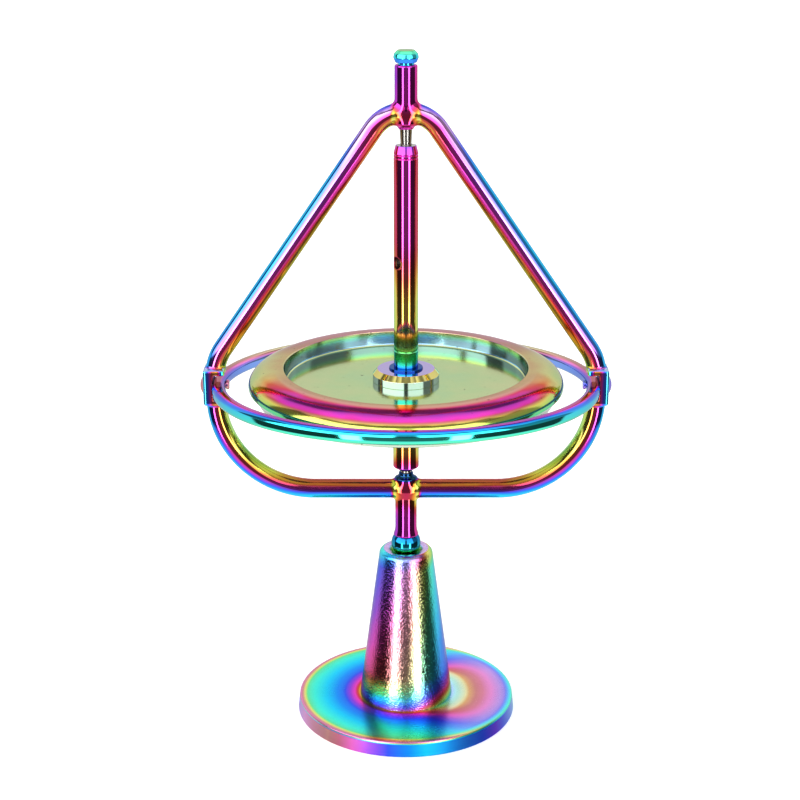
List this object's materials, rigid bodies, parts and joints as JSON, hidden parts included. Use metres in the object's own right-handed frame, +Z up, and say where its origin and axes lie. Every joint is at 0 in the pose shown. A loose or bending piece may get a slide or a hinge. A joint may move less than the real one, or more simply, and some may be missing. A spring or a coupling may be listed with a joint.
{
  "type": "toy gyroscope on stand",
  "caption": "Rainbow-plated toy gyroscope: a flywheel on an axle in a bent-rod hoop with a guard ring, standing by a ball foot in the cup of a conical pedestal.",
  "frame": {"origin": "on the table under the centre of the stand's base", "axes": "+Z up along the upright axle, +X along the plane of the hoop towards one side block, -Y towards the pictured front"},
  "size_m": [0.065, 0.0612, 0.1089],
  "materials": {
    "base_coat": "thin rainbow plating over polished metal",
    "post_coat": "rainbow plating with a fine orange-peel surface",
    "ball_coat": "thin rainbow plating over polished metal",
    "hoop_coat": "thin rainbow plating over polished metal",
    "ring_coat": "thin rainbow plating over polished metal",
    "rivet_coat": "thin rainbow plating over polished metal",
    "knob_coat": "thin rainbow plating over polished metal",
    "wheel_coat": "turned metal with thin rainbow plating, satin web",
    "collar_coat": "thin rainbow plating over polished metal",
    "sleeve_coat": "thin rainbow plating over polished metal",
    "steel": "bare turned steel"
  },
  "bodies": {
    "stand": {"stand_base": "base_coat", "stand_post": "post_coat", "stand_screw": "steel"},
    "foot": {"foot_ball": "ball_coat"},
    "frame": {"gyro_frame": "hoop_coat", "guard_ring": "ring_coat", "ring_rivets": "rivet_coat", "top_knob": "knob_coat", "pivot_pins": "steel"},
    "rotor": {"flywheel": "wheel_coat", "hub_collars": "collar_coat", "axle_core": "steel", "upper_sleeve": "sleeve_coat", "lower_sleeve": "sleeve_coat"}
  },
  "joints": [
    {"name": "precession", "type": "hinge", "parent": "stand", "child": "foot", "pos_m": [0, 0, 0.02942], "axis": [0, 0, 1], "continuous": true},
    {"name": "lean", "type": "hinge", "parent": "foot", "child": "frame", "pos_m": [0, 0, 0.02942], "axis": [1, 0, 0], "range_deg": [-55, 55]},
    {"name": "rotor_spin", "type": "hinge", "parent": "frame", "child": "rotor", "pos_m": [0, 0, 0.05645], "axis": [0, 0, 1], "continuous": true}
  ]
}
